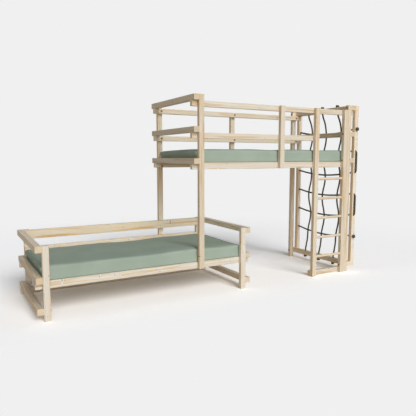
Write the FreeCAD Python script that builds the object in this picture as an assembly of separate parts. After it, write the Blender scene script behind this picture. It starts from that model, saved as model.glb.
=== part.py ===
import FreeCAD, Part
import math
import os
from FreeCAD import Vector

# Bunk bed of planed softwood beams: a low bed, and a high bed that stands over its right part and
# reaches past it. X runs along the beds, Y from the open front to the wall side, Z up. All in mm.

# Timber sections
beam_width = 57.0            # posts, seen from the front
beam_depth = 43.0            # posts and long rails, from front to back
cross_width = 57.0           # cross rails, along the bed
cross_height = 57.0
guard_rail_height = 57.0
side_rail_height = 67.0      # rails that carry the slats
back_board_height = 91.0
edge_round = 4.0             # planed round along each long edge
end_ease = 2.0               # bevel round each sawn end
rebate_depth = 15.0          # side rail ends are cut down by this under the cross rails

# Mattresses and the room round them
mattress_length = 2030.0
mattress_width = 900.0
mattress_height = 125.0
mattress_corner = 30.0       # corner radius seen from above
mattress_edge = 26.0         # rounding of the upper and lower rims
mattress_crown = 9.0
mattress_draw = 7.0          # the sides pull in by this between the corners
mattress_left_play = 2.0
mattress_right_play = 20.0
mattress_front_play = 4.0
mattress_rear_play = 11.0
soft_clearance = 0.3

# Heights
floor_gap = 5.0              # under the lowest long rails
lower_deck = 343.0           # top of the low bed's side rails
wall_rail_rise = 13.0        # wall rail above the low mattress
back_board_gap = 82.0
upper_deck = 1338.0
mid_guard_rise = 294.0       # underside of the middle cross rails above the upper deck
top_guard_rise = 309.0       # underside of the top cross rails above those

# The high bed's shift to the right
upper_offset = 1497.0

# Slats and their ledgers
slat_width = 70.0
slat_thickness = 18.0
slat_count = 14
slat_clearance = 0.5
ledger_width = 25.0
ledger_height = 20.0

# Ladder
ladder_gap = 384.0           # clear width between the ladder posts
rung_diameter = 30.0
rung_seat = 20.0             # depth of each rung's blind hole
rung_count = 5
first_rung = 233.0
rung_pitch = 227.0
rung_clearance = 0.3

# Rope net
rope_diameter = 20.0
rope_clearance = 0.5         # round the rope in its drilled holes
weave_clearance = 1.5        # between ropes where they cross
upright_pitch = 259.0
upright_count = 3
level_pitch = 259.0
level_count = 6
lowest_level = 428.0
rope_sag = 46.0
hole_lead = 25.0             # a rope leaves its hole straight for this far
loop_reach = 14.0            # how far a loop's corner stands off the post
loop_bulge = 15.0            # and its middle
loop_shoulder = 60.0
cross_lead = 30.0            # an upright is beside a crossing from this far above it
cross_hold = 90.0            # to this far below it
top_bow_drop = 86.0
top_bow_reach = 51.0
foot_bow_drop = 112.0
foot_bow_reach = 13.0
knot_diameter = 44.0
knot_height = 34.0
knot_groove = 36.0           # diameter between two coils of a knot
knot_coils = 2

# Bolts
bolt_diameter = 8.0
bolt_clearance = 0.3
bolt_grip = 33.0             # thread in the last piece that a bolt reaches
cap_diameter = 22.0
cap_height = 5.0
side_bolt_rise = 16.0        # bolts in side rails stay under the ledgers
cut_overrun = 10.0

# Shares
arc_share = 0.45             # part of the shorter run that a rope's bend takes
parallel_share = 0.9
sag_places_shares = (0.17, 0.5, 0.83)
sag_depth_shares = (0.64, 1.12, 0.64)
rim_inset_shares = (0.55, 0.15, 0.0)
rim_height_shares = (0.0, 0.3, 0.85)
crown_inset_shares = (0.18, 0.45)
crown_height_shares = (0.6, 1.0)
coil_shares = (0.3, 0.7, 1.0)

# Places along the beds, from the low bed's left post
bed_length = mattress_left_play + mattress_length + mattress_right_play
lower_right_post_x = bed_length - beam_width
upper_right_post_x = upper_offset + bed_length - beam_width
guard_post_x = upper_offset + (bed_length - beam_width) / 2
ladder_right_post_x = upper_right_post_x - beam_width
ladder_left_post_x = ladder_right_post_x - ladder_gap - beam_width
net_rail_x = upper_offset + bed_length
net_post_x = net_rail_x + cross_width
left_end = -cross_width
right_end = net_post_x + beam_width

# Places from front to back
front_rail_y = beam_depth
mattress_y = beam_depth + mattress_front_play
rear_rail_y = mattress_y + mattress_width + mattress_rear_play
rear_post_y = rear_rail_y + beam_depth
bed_width = rear_post_y + beam_depth

# Places in height
low_rail_top = floor_gap + guard_rail_height
lower_mid_cross = lower_deck - rebate_depth
wall_rail_top = lower_deck + mattress_height + wall_rail_rise
lower_post_top = wall_rail_top + back_board_gap + back_board_height
upper_bed_cross = upper_deck - rebate_depth
upper_mid_cross = upper_deck + mid_guard_rise
upper_top_cross = upper_mid_cross + top_guard_rise
upper_post_top = upper_top_cross + cross_height
lower_rail_foot = lower_deck - side_rail_height
upper_rail_foot = upper_deck - side_rail_height

# The origin is under the middle of the frame
origin_shift = Vector(-(left_end + right_end) / 2, -bed_width / 2, 0)

# Name: left face, row, foot, top
posts = {
    "lower_front_left_post": (0, "front", 0, lower_post_top),
    "lower_front_right_post": (lower_right_post_x, "front", 0, lower_post_top),
    "lower_rear_left_post": (0, "rear", 0, lower_post_top),
    "lower_rear_right_post": (lower_right_post_x, "rear", 0, lower_post_top),
    "upper_front_left_post": (upper_offset, "front", lower_rail_foot, upper_post_top),
    "upper_rear_left_post": (upper_offset, "rear", lower_rail_foot, upper_post_top),
    "upper_front_right_post": (upper_right_post_x, "front", 0, upper_post_top),
    "upper_rear_right_post": (upper_right_post_x, "rear", 0, upper_post_top),
    "net_front_post": (net_post_x, "front", low_rail_top, upper_post_top),
    "net_rear_post": (net_post_x, "rear", low_rail_top, upper_post_top),
    "front_guard_post": (guard_post_x, "front", upper_rail_foot, upper_top_cross),
    "rear_guard_post": (guard_post_x, "rear", upper_rail_foot, upper_top_cross),
    "ladder_left_post": (ladder_left_post_x, "front", 0, upper_top_cross),
    "ladder_right_post": (ladder_right_post_x, "front", 0, upper_top_cross),
}

# Name: left end, right end, row, foot, height, posts that it is bolted to
lower_front_posts = ("lower_front_left_post", "upper_front_left_post", "lower_front_right_post")
lower_rear_posts = ("lower_rear_left_post", "upper_rear_left_post", "lower_rear_right_post")
low_rail_posts = ("lower_rear_left_post", "lower_rear_right_post")
mid_guard_posts = ("upper_front_left_post", "front_guard_post", "ladder_left_post")
upper_front_posts = mid_guard_posts + ("ladder_right_post", "upper_front_right_post")
upper_rear_posts = ("upper_rear_left_post", "rear_guard_post", "upper_rear_right_post")
foot_beam_posts = ("ladder_left_post", "ladder_right_post", "upper_front_right_post")
lower_ends = (left_end, bed_length + cross_width)
upper_ends = (upper_offset - cross_width, net_post_x)
ladder_left_end = ladder_left_post_x + beam_width
rails = {
    "lower_front_side_rail": (*lower_ends, "front", lower_rail_foot, side_rail_height, lower_front_posts),
    "lower_rear_side_rail": (*lower_ends, "rear", lower_rail_foot, side_rail_height, lower_rear_posts),
    "lower_rear_low_rail": (*lower_ends, "rear", floor_gap, guard_rail_height, low_rail_posts),
    "lower_rear_wall_rail": (0, bed_length, "rear", wall_rail_top - guard_rail_height,
                             guard_rail_height, lower_rear_posts),
    "lower_back_board": (0, bed_length, "rear", lower_post_top - back_board_height,
                         back_board_height, lower_rear_posts),
    "upper_front_side_rail": (*upper_ends, "front", upper_rail_foot, side_rail_height, upper_front_posts),
    "upper_rear_side_rail": (*upper_ends, "rear", upper_rail_foot, side_rail_height, upper_rear_posts),
    "front_mid_guard_rail": (upper_ends[0], ladder_left_end, "front", upper_mid_cross - guard_rail_height,
                             guard_rail_height, mid_guard_posts),
    "rear_mid_guard_rail": (*upper_ends, "rear", upper_mid_cross - guard_rail_height,
                            guard_rail_height, upper_rear_posts),
    "front_top_guard_rail": (*upper_ends, "front", upper_top_cross - guard_rail_height,
                             guard_rail_height, upper_front_posts),
    "rear_top_guard_rail": (*upper_ends, "rear", upper_top_cross - guard_rail_height,
                            guard_rail_height, upper_rear_posts),
    "ladder_foot_beam": (ladder_left_post_x, net_rail_x, "front", floor_gap,
                         guard_rail_height, foot_beam_posts),
}

# Name: left face, underside, and the posts that its bolts pass, from the cap on
lower_left_chains = (("lower_front_left_post",), ("lower_rear_left_post",))
lower_right_chains = (("lower_front_right_post",), ("lower_rear_right_post",))
upper_left_chains = (("upper_front_left_post",), ("upper_rear_left_post",))
net_rear_chain = ("upper_rear_right_post", "net_rear_post")
net_top_chains = (("upper_front_right_post", "net_front_post"), net_rear_chain)
net_chains = (("ladder_right_post", "upper_front_right_post", "net_front_post"), net_rear_chain)
lower_top_cross = lower_post_top - cross_height
upper_left_x = upper_offset - cross_width
cross_rails = {
    "lower_left_bottom_cross_rail": (left_end, low_rail_top, lower_left_chains),
    "lower_left_mid_cross_rail": (left_end, lower_mid_cross, lower_left_chains),
    "lower_left_top_cross_rail": (left_end, lower_top_cross, lower_left_chains),
    "lower_right_bottom_cross_rail": (bed_length, low_rail_top, lower_right_chains),
    "lower_right_mid_cross_rail": (bed_length, lower_mid_cross, lower_right_chains),
    "lower_right_top_cross_rail": (bed_length, lower_top_cross, lower_right_chains),
    "upper_left_bed_cross_rail": (upper_left_x, upper_bed_cross, upper_left_chains),
    "upper_left_mid_cross_rail": (upper_left_x, upper_mid_cross, upper_left_chains),
    "upper_left_top_cross_rail": (upper_left_x, upper_top_cross, upper_left_chains),
    "upper_right_bed_cross_rail": (net_rail_x, upper_bed_cross, net_chains),
    "upper_right_mid_cross_rail": (net_rail_x, upper_mid_cross, net_chains),
    "upper_right_top_cross_rail": (net_rail_x, upper_top_cross, net_top_chains),
    "net_bottom_rail": (net_rail_x, low_rail_top, net_chains),
}

X_AXIS = Vector(1, 0, 0)
Y_AXIS = Vector(0, 1, 0)
Z_AXIS = Vector(0, 0, 1)

nodes = {}
holes = {}


def box(x_span, y_span, z_span):
    """Plain block between three pairs of limits."""
    low, high = zip(x_span, y_span, z_span)
    sizes = [top - foot for foot, top in zip(low, high)]
    return Part.makeBox(*sizes, Vector(*low))


def timber(x_span, y_span, z_span):
    """Beam with its long edges planed round and its sawn ends bevelled."""
    block = box(x_span, y_span, z_span)
    sizes = [high - low for low, high in (x_span, y_span, z_span)]
    axis = sizes.index(max(sizes))
    long_edges = [e for e in block.Edges if abs(e.tangentAt(e.FirstParameter)[axis]) > parallel_share]
    beam = block.makeFillet(edge_round, long_edges)
    ends = [f for f in beam.Faces if abs(f.normalAt(0, 0)[axis]) > parallel_share]
    return beam.makeChamfer(end_ease, [e for f in ends for e in f.Edges])


def drill(node, start, along, radius, length):
    """Note a round hole to be cut from a node."""
    holes.setdefault(node, []).append(Part.makeCylinder(radius, length, start, along))


def row_y(row, kind):
    """Front face of a post or a rail in the front or the rear row."""
    places = {("front", "post"): 0, ("rear", "post"): rear_post_y,
              ("front", "rail"): front_rail_y, ("rear", "rail"): rear_rail_y}
    return places[(row, kind)]


def make_posts():
    for name, (x, row, foot, top) in posts.items():
        y = row_y(row, "post")
        nodes[name] = timber((x, x + beam_width), (y, y + beam_depth), (foot, top))


def make_rails():
    for name, (start, end, row, foot, height, _) in rails.items():
        y = row_y(row, "rail")
        rail = timber((start, end), (y, y + beam_depth), (foot, foot + height))
        if name.endswith("side_rail"):
            seat = foot + height - rebate_depth
            deep = (y - cut_overrun, y + beam_depth + cut_overrun)
            tall = (seat, seat + rebate_depth + cut_overrun)
            left = box((start - cut_overrun, start + cross_width), deep, tall)
            right = box((end - cross_width, end + cut_overrun), deep, tall)
            rail = rail.cut([left, right])
        nodes[name] = rail


def make_cross_rails():
    for name, (x, foot, _) in cross_rails.items():
        nodes[name] = timber((x, x + cross_width), (0, bed_width), (foot, foot + cross_height))


def bolt(seat, along, length):
    """Bolt whose round cap sits at a point, with its shank along a direction."""
    shank = Part.makeCylinder(bolt_diameter / 2, length, seat, along)
    cap = Part.makeCylinder(cap_diameter / 2, cap_height, seat, -along)
    return cap.fuse(shank).removeSplitter()


def make_rail_bolts():
    """Bolts from the inner faces of the long rails into the posts.

    The low bed's rear rails are bolted from the wall side, so their caps stay out of sight.
    """
    made = []
    radius = bolt_diameter / 2 + bolt_clearance
    length = beam_depth + bolt_grip
    for name, (_, _, row, foot, height, joined) in rails.items():
        from_wall = name.startswith("lower_") and row == "rear"
        along = Y_AXIS if row == "rear" and not from_wall else -Y_AXIS
        seat_y = front_rail_y + beam_depth if row == "front" else rear_rail_y
        seat_y = bed_width if from_wall else seat_y
        rise = side_bolt_rise if name.endswith("side_rail") else height / 2
        for post in joined:
            seat = Vector(posts[post][0] + beam_width / 2, seat_y, foot + rise)
            made.append(bolt(seat, along, length))
            for node in (name, post):
                drill(node, seat, along, radius, length + bolt_clearance)
    nodes["rail_bolts"] = Part.makeCompound(made)


def make_cross_rail_bolts():
    """Bolts from the posts into the cross rails, and through those into the net posts.

    The low bed's right cross rails are bolted from outside, so their caps stay out of sight.
    """
    made = []
    radius = bolt_diameter / 2 + bolt_clearance
    for name, (x, foot, chains) in cross_rails.items():
        for chain in chains:
            first_x, row = posts[chain[0]][:2]
            leftwards = first_x > x
            along = -X_AXIS if leftwards else X_AXIS
            seat_x = first_x + beam_width if leftwards else first_x
            last_x = posts[chain[-1]][0]
            reach = last_x - first_x if last_x > x else abs(x - first_x)
            reach = beam_width if leftwards else reach
            if name.startswith("lower_right"):
                along = -X_AXIS
                seat_x = x + cross_width
                reach = cross_width
            seat = Vector(seat_x, row_y(row, "post") + beam_depth / 2, foot + cross_height / 2)
            made.append(bolt(seat, along, reach + bolt_grip))
            for node in (name, *chain):
                drill(node, seat, along, radius, reach + bolt_grip + bolt_clearance)
    nodes["cross_rail_bolts"] = Part.makeCompound(made)


def make_slats(bed, start, deck):
    """Slats that lie between the side rails, on a ledger along each of them."""
    inner_front = front_rail_y + beam_depth
    shelf = deck - slat_thickness
    pitch = (bed_length - slat_width) / slat_count
    first = start + (bed_length - pitch * (slat_count - 1) - slat_width) / 2
    across = (inner_front + slat_clearance, rear_rail_y - slat_clearance)
    slats = []
    for number in range(slat_count):
        x = first + number * pitch
        slats.append(box((x, x + slat_width), across, (shelf, deck)))
    nodes[bed + "_slats"] = Part.makeCompound(slats)
    along = (start, start + bed_length)
    tall = (shelf - ledger_height, shelf)
    nodes[bed + "_front_ledger"] = box(along, (inner_front, inner_front + ledger_width), tall)
    nodes[bed + "_rear_ledger"] = box(along, (rear_rail_y - ledger_width, rear_rail_y), tall)


def mattress_outline(middle, inset, height):
    """Rounded oblong at a height, with each side drawn in a little between its corners."""
    half_x = mattress_length / 2 - inset
    half_y = mattress_width / 2 - inset
    straight_x = half_x - mattress_corner
    straight_y = half_y - mattress_corner
    bulge = mattress_corner * math.sqrt(2) / 2
    sides = []
    for turn in range(4):
        reach, run = (half_y, straight_x) if turn % 2 == 0 else (half_x, straight_y)
        next_run = straight_y if turn % 2 == 0 else straight_x
        side = ((-run, -reach), (0, -reach + mattress_draw), (run, -reach))
        corner = ((run, -reach), (run + bulge, -next_run - bulge), (run + mattress_corner, -next_run))
        for line in (side, corner):
            angle = math.pi / 2 * turn
            spun = [Vector(x * math.cos(angle) - y * math.sin(angle),
                           x * math.sin(angle) + y * math.cos(angle), height) for x, y in line]
            sides.append(Part.Arc(*[middle + point for point in spun]).toShape())
    return Part.Wire(sides)


def make_mattress(bed, start, deck):
    """Mattress with rounded rims, drawn-in sides and a crowned top."""
    middle_x = start + mattress_left_play + mattress_length / 2
    middle = Vector(middle_x, mattress_y + mattress_width / 2, deck + soft_clearance)
    side_top = mattress_height - mattress_crown
    rings = [(inset * mattress_edge, height * mattress_edge)
             for inset, height in zip(rim_inset_shares, rim_height_shares)]
    rings += [(inset, side_top - height) for inset, height in reversed(rings)]
    rings += [(inset * mattress_width / 2, side_top + height * mattress_crown)
              for inset, height in zip(crown_inset_shares, crown_height_shares)]
    wires = [mattress_outline(middle, inset, height) for inset, height in rings]
    nodes[bed + "_mattress"] = Part.makeLoft(wires, True, True)


def make_rungs():
    """Round rungs, each end in a blind hole of a ladder post."""
    left = ladder_left_post_x + beam_width - rung_seat
    length = ladder_gap + 2 * rung_seat
    for number in range(rung_count):
        seat = Vector(left, beam_depth / 2, first_rung + number * rung_pitch)
        nodes["ladder_rung_" + str(number + 1)] = Part.makeCylinder(rung_diameter / 2, length, seat, X_AXIS)
        for post in ("ladder_left_post", "ladder_right_post"):
            drill(post, seat, X_AXIS, rung_diameter / 2 + rung_clearance, length)


def rope_tube(name, route):
    """Tube along straight runs joined by tangent arcs.

    Each point of the route is a place and the most that its bend may take of a run, or None.
    """
    places = [place for place, _ in route]
    edges = []
    radii = []
    start = places[0]
    for number in range(1, len(places) - 1):
        corner = places[number]
        back = places[number - 1] - corner
        ahead = places[number + 1] - corner
        reach = arc_share * min(back.Length, ahead.Length)
        if route[number][1] is not None:
            reach = min(reach, route[number][1])
        back.normalize()
        ahead.normalize()
        half_turn = (math.pi - back.getAngle(ahead)) / 2
        radius = reach / math.tan(half_turn)
        bisector = back + ahead
        bisector.normalize()
        apex = corner + bisector * (radius / math.cos(half_turn) - radius)
        first = corner + back * reach
        last = corner + ahead * reach
        edges.append(Part.LineSegment(start, first).toShape())
        edges.append(Part.Arc(first, apex, last).toShape())
        radii.append(radius)
        start = last
    edges.append(Part.LineSegment(start, places[-1]).toShape())
    path = Part.Wire(edges)
    section = Part.Wire(Part.makeCircle(rope_diameter / 2, places[0], places[1] - places[0]))
    tube = path.makePipeShell([section], True, False)
    share = tube.Volume / (path.Length * math.pi * rope_diameter ** 2 / 4)
    print(name, "length", round(path.Length), "volume share", round(share, 4),
          "least radius", round(min(radii)), "largest", round(max(radii)))
    return tube


def knot(seat, along):
    """Stopper knot that sits at a point and stands out along a direction."""
    profile = [Vector(0, 0, 0), Vector(knot_groove / 2, 0, 0)]
    for coil in range(knot_coils):
        low, high, end = [knot_height * (coil + share) / knot_coils for share in coil_shares]
        profile += [Vector(knot_diameter / 2, 0, low), Vector(knot_diameter / 2, 0, high),
                    Vector(knot_groove / 2, 0, end)]
    profile += [Vector(0, 0, knot_height), Vector(0, 0, 0)]
    lump = Part.Face(Part.makePolygon(profile)).revolve(Vector(0, 0, 0), Z_AXIS)
    lump.Placement = FreeCAD.Placement(seat, FreeCAD.Rotation(Z_AXIS, along))
    return lump


def sag_at(y):
    """Depth of a level rope below its holes at a place between the net posts."""
    places = [0, *sag_places_shares, 1]
    depths = [0, *sag_depth_shares, 0]
    start = beam_depth + hole_lead
    share = (y - start) / (rear_post_y - hole_lead - start)
    for left, right, low, high in zip(places, places[1:], depths, depths[1:]):
        if left <= share <= right:
            return rope_sag * (low + (high - low) * (share - left) / (right - left))
    return 0


def level_height(number):
    """Height of a rope level's holes, counted from the top."""
    return lowest_level + (level_count - 1 - number) * level_pitch


def make_upright_ropes(knots):
    """Ropes that hang between the top and bottom net rails and weave past the level ropes."""
    rail_x = net_rail_x + cross_width / 2
    net_x = net_post_x + beam_width / 2
    weave = rope_diameter + weave_clearance
    names = ("front", "middle", "rear")
    top = upper_post_top
    foot = low_rail_top
    lead_top = upper_top_cross - hole_lead
    lead_foot = low_rail_top + cross_height + hole_lead
    for number in range(upright_count):
        y = bed_width / 2 + (number - (upright_count - 1) / 2) * upright_pitch
        route = [(Vector(rail_x, y, top), None),
                 (Vector(rail_x, y, lead_top), hole_lead),
                 (Vector(rail_x + top_bow_reach, y, lead_top - top_bow_drop), None)]
        side = weave
        for level in range(level_count):
            height = level_height(level) - sag_at(y)
            route.append((Vector(net_x + side, y, height + cross_lead), None))
            route.append((Vector(net_x + side, y, height - cross_hold), None))
            side = -side
        last = level_height(level_count - 1) - sag_at(y) - cross_hold
        route += [(Vector(rail_x + foot_bow_reach, y, last - foot_bow_drop), None),
                  (Vector(rail_x, y, lead_foot), hole_lead),
                  (Vector(rail_x, y, foot), None)]
        name = "net_upright_rope_" + names[number]
        nodes[name] = rope_tube(name, route)
        knots.append(knot(Vector(rail_x, y, top), Z_AXIS))
        knots.append(knot(Vector(rail_x, y, foot), -Z_AXIS))
        radius = rope_diameter / 2 + rope_clearance
        for rail in ("upper_right_top_cross_rail", "net_bottom_rail"):
            start = Vector(rail_x, y, cross_rails[rail][1] - cut_overrun)
            drill(rail, start, Z_AXIS, radius, cross_height + 2 * cut_overrun)


def loop_points(x, face, outwards, upper, lower):
    """Loop of the level rope on the outside of a net post, from one level down to the next."""
    corner = face + outwards * loop_reach
    bulge = face + outwards * loop_bulge
    return [(Vector(x, corner, upper), loop_reach),
            (Vector(x, bulge, upper - loop_shoulder), None),
            (Vector(x, bulge, lower + loop_shoulder), None),
            (Vector(x, corner, lower), loop_reach)]


def make_level_rope(knots):
    """One rope laced to and fro through the two net posts, a level at a time."""
    x = net_post_x + beam_width / 2
    near = beam_depth + hole_lead
    far = rear_post_y - hole_lead
    route = [(Vector(x, 0, level_height(0)), None)]
    for level in range(level_count):
        height = level_height(level)
        span = [(Vector(x, near, height), hole_lead)]
        for place, depth in zip(sag_places_shares, sag_depth_shares):
            span.append((Vector(x, near + place * (far - near), height - depth * rope_sag), None))
        span.append((Vector(x, far, height), hole_lead))
        rearwards = level % 2 == 0
        route += span if rearwards else span[::-1]
        if level < level_count - 1:
            face, outwards = (bed_width, 1) if rearwards else (0, -1)
            route += loop_points(x, face, outwards, height, level_height(level + 1))
    route.append((Vector(x, 0, level_height(level_count - 1)), None))
    nodes["net_level_rope"] = rope_tube("net_level_rope", route)
    for end in (0, level_count - 1):
        knots.append(knot(Vector(x, 0, level_height(end)), -Y_AXIS))
    radius = rope_diameter / 2 + rope_clearance
    for level in range(level_count):
        for post in ("net_front_post", "net_rear_post"):
            start = Vector(x, row_y(posts[post][1], "post") - cut_overrun, level_height(level))
            drill(post, start, Y_AXIS, radius, beam_depth + 2 * cut_overrun)


def make_net():
    knots = []
    make_upright_ropes(knots)
    make_level_rope(knots)
    nodes["net_knots"] = Part.makeCompound(knots)


def main():
    make_posts()
    make_rails()
    make_cross_rails()
    make_rail_bolts()
    make_cross_rail_bolts()
    make_slats("lower", 0, lower_deck)
    make_slats("upper", upper_offset, upper_deck)
    make_mattress("lower", 0, lower_deck)
    make_mattress("upper", upper_offset, upper_deck)
    make_rungs()
    make_net()
    os.makedirs("parts", exist_ok=True)
    for name, shape in nodes.items():
        if name in holes:
            shape = shape.cut(holes[name])
        shape.translate(origin_shift)
        shape.exportStep("parts/" + name + ".step")


main()
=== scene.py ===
"""Looks of a softwood bunk bed with a ladder, a rope net and two mattresses.

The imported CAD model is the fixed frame. Its beams, slats, rungs and bolts keep their shapes and get
procedural finishes. The mattresses, the ropes and their knots are made here. Lengths are in metres,
apart from values whose names end in mm.
"""
import logging
import math
from dataclasses import dataclass
from enum import Enum
from fnmatch import fnmatchcase
from typing import Any

import bmesh
import bpy
from mathutils import Euler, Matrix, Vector, noise


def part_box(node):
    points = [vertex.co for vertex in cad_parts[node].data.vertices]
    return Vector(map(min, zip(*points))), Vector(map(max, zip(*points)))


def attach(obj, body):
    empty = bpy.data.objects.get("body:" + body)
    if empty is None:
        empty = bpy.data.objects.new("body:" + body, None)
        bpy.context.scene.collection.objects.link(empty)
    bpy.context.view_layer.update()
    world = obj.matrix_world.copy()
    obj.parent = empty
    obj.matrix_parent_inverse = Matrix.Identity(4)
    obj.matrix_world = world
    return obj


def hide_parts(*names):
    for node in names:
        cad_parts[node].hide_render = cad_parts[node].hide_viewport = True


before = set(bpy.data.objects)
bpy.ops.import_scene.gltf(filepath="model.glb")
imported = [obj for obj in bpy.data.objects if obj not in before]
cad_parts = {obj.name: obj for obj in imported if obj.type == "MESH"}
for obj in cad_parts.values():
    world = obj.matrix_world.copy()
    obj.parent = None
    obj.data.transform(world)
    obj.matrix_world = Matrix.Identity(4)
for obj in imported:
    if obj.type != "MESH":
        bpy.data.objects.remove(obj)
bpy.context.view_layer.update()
LOG = logging.getLogger("bunk_bed")
MM = 0.001
BODY = "root"
GOLDEN_ANGLE = 2.399
Span = tuple[float, float]
Point = tuple[float, float, float]
Colour = tuple[float, float, float, float]
Socket = bpy.types.NodeSocket
Tree = bpy.types.NodeTree


class Grain(Enum):
    """Direction that a beam's fibres run in: the order that puts that axis first."""

    ALONG_X = ("X", "Y", "Z")
    ALONG_Y = ("Y", "X", "Z")
    ALONG_Z = ("Z", "X", "Y")


def linear(colour: str) -> Colour:
    """Turn an sRGB hex colour into linear light.

    Args:
        colour: Hex colour such as "#E6DAC4".
    Returns:
        Red, green and blue in linear light, and an alpha of one.
    """
    parts = [int(colour[i:i + 2], 16) / 255 for i in (1, 3, 5)]
    light = [c / 12.92 if c <= 0.04045 else ((c + 0.055) / 1.055) ** 2.4 for c in parts]
    return (light[0], light[1], light[2], 1.0)


def toned(colour: str, gain: float) -> Colour:
    """Linear colour made a little lighter or darker.

    Args:
        colour: Hex colour.
        gain: Factor on each channel, one for no change.
    Returns:
        The linear colour times the gain.
    """
    red, green, blue, alpha = linear(colour)
    return (min(1, red * gain), min(1, green * gain), min(1, blue * gain), alpha)


def per_metre(*sizes: float) -> tuple[float, ...]:
    """Scale of a pattern whose cells have real sizes.

    Args:
        sizes: Size of a cell along each axis, in millimetres.
    Returns:
        Cells in a metre along each axis.
    """
    return tuple(1 / (size * MM) for size in sizes)


def add_node(tree: Tree, kind: str, inputs: dict | None = None, **settings: Any) -> bpy.types.Node:
    """Add a node with its settings, values and links.

    Args:
        tree: Shader or geometry tree to add to.
        kind: Blender's name of the node.
        inputs: Socket name or number to a value, or to the output socket that feeds it.
        settings: Properties of the node.
    Returns:
        The new node.
    """
    node = tree.nodes.new(kind)
    for key, value in settings.items():
        setattr(node, key, value)
    for key, value in (inputs or {}).items():
        if isinstance(value, Socket):
            tree.links.new(value, node.inputs[key])
        else:
            node.inputs[key].default_value = value
    return node


def new_material(name: str) -> tuple[bpy.types.Material, Tree]:
    """Start a material with an empty tree.

    Args:
        name: Name of the real material and the piece.
    Returns:
        The material and its tree.
    """
    material = bpy.data.materials.new(name)
    material.use_nodes = True
    material.node_tree.nodes.clear()
    return material, material.node_tree


def end_material(tree: Tree, height: Socket, relief: float, relief_mm: float, inputs: dict) -> None:
    """End a material with its fine relief, its shader and its output.

    Args:
        tree: Tree of the material.
        height: Height of the relief at each place.
        relief: How strongly the relief shows.
        relief_mm: How deep the relief is.
        inputs: The shader's other sockets, as add_node takes them.
    """
    bump = add_node(tree, "ShaderNodeBump", {
        "Height": height, "Strength": relief, "Distance": relief_mm * MM})
    shader = add_node(tree, "ShaderNodeBsdfPrincipled", {"Normal": bump.outputs["Normal"], **inputs})
    add_node(tree, "ShaderNodeOutputMaterial", {"Surface": shader.outputs[0]})


def set_ramp(ramp: bpy.types.Node, stops: list[tuple[float, Colour]]) -> None:
    """Give a colour ramp its stops.

    Args:
        ramp: Colour ramp node.
        stops: Place and linear colour of each stop, two or more.
    """
    elements = ramp.color_ramp.elements
    while len(elements) < len(stops):
        elements.new(0.5)
    for element, (place, colour) in zip(elements, stops):
        element.position = place
        element.color = colour


def coat(piece: bpy.types.Object, material: bpy.types.Material) -> None:
    """Put one material on every slot of a piece.

    Args:
        piece: The piece, with or without slots.
        material: The material.
    """
    if not piece.data.materials:
        piece.data.materials.append(material)
    for place in piece.material_slots:
        place.material = material


def new_object(name: str, data: bpy.types.ID) -> bpy.types.Object:
    """Make an object and put it in the scene.

    Args:
        name: Name of the object.
        data: Its mesh, curve, lamp or camera.
    Returns:
        The object, at the origin.
    """
    piece = bpy.data.objects.new(name, data)
    bpy.context.scene.collection.objects.link(piece)
    return piece


def new_curve(name: str, kind: str, routes: list[list[Point]]) -> bpy.types.Object:
    """Make a curve with one spline for each route.

    Args:
        name: Name of the curve.
        kind: Kind of spline, NURBS or POLY.
        routes: The points of each spline.
    Returns:
        The curve object, with no bevel.
    """
    curve = bpy.data.curves.new(name, "CURVE")
    curve.dimensions = "3D"
    for route in routes:
        line = curve.splines.new(kind)
        line.points.add(len(route) - 1)
        for point, place in zip(line.points, route):
            point.co = (*place, 1.0)
    return new_object(name, curve)


def plain_mesh(source: bpy.types.Object, name: str) -> bpy.types.Object:
    """Turn an object's evaluated form into a plain mesh object and remove the source.

    Args:
        source: Object with live modifiers, or a curve.
        name: Name of the new piece.
    Returns:
        The new object, at the origin.
    """
    graph = bpy.context.evaluated_depsgraph_get()
    mesh = bpy.data.meshes.new_from_object(source.evaluated_get(graph), depsgraph=graph)
    mesh.name = name
    piece = new_object(name, mesh)
    bpy.data.objects.remove(source)
    return piece


def new_tree(name: str, inputs: dict[str, str]) -> tuple[Tree, bpy.types.Node]:
    """Start a geometry tree that takes a curve and named inputs.

    Args:
        name: Name of the tree.
        inputs: Each input's name and the kind of its socket, such as Float.
    Returns:
        The tree, and the node that gives the inputs.
    """
    tree = bpy.data.node_groups.new(name, "GeometryNodeTree")
    for label, kind in {"Geometry": "Geometry", **inputs}.items():
        tree.interface.new_socket(label, in_out="INPUT", socket_type="NodeSocket" + kind)
    tree.interface.new_socket("Geometry", in_out="OUTPUT", socket_type="NodeSocketGeometry")
    return tree, add_node(tree, "NodeGroupInput")


def end_tree(tree: Tree, shape: Socket, material: Socket) -> None:
    """End a geometry tree: make its instances real and give them their material.

    Args:
        tree: The tree.
        shape: What the tree has made.
        material: The tree's input for the material.
    """
    real = add_node(tree, "GeometryNodeRealizeInstances", {0: shape})
    dressed = add_node(tree, "GeometryNodeSetMaterial", {"Geometry": real.outputs[0], "Material": material})
    add_node(tree, "NodeGroupOutput", {0: dressed.outputs[0]})


def grown(source: bpy.types.Object, tree: Tree, values: dict[str, Any], name: str) -> bpy.types.Object:
    """Run a geometry tree on a curve and keep the result as a plain mesh.

    Args:
        source: The curve, which is removed.
        tree: The tree to run.
        values: The value of each named input.
        name: Name of the new piece.
    Returns:
        The finished mesh.
    """
    layer = source.modifiers.new(tree.name, "NODES")
    layer.node_group = tree
    for item in tree.interface.items_tree:
        if item.in_out == "INPUT" and item.name in values:
            layer[item.identifier] = values[item.name]
    return plain_mesh(source, name)


@dataclass(frozen=True)
class Tone:
    """How one beam differs from the next of the same wood.

    Yellowing goes from zero to one. Streaks, the painted light that makes a beam lighter or darker for
    the shade or light it stands in, and the painted warm bounce light on its sides are factors.
    """

    mellow: float
    painted_light: float = 1.0
    streaks: float = 1.0
    bounce_paint: float = 1.0


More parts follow.
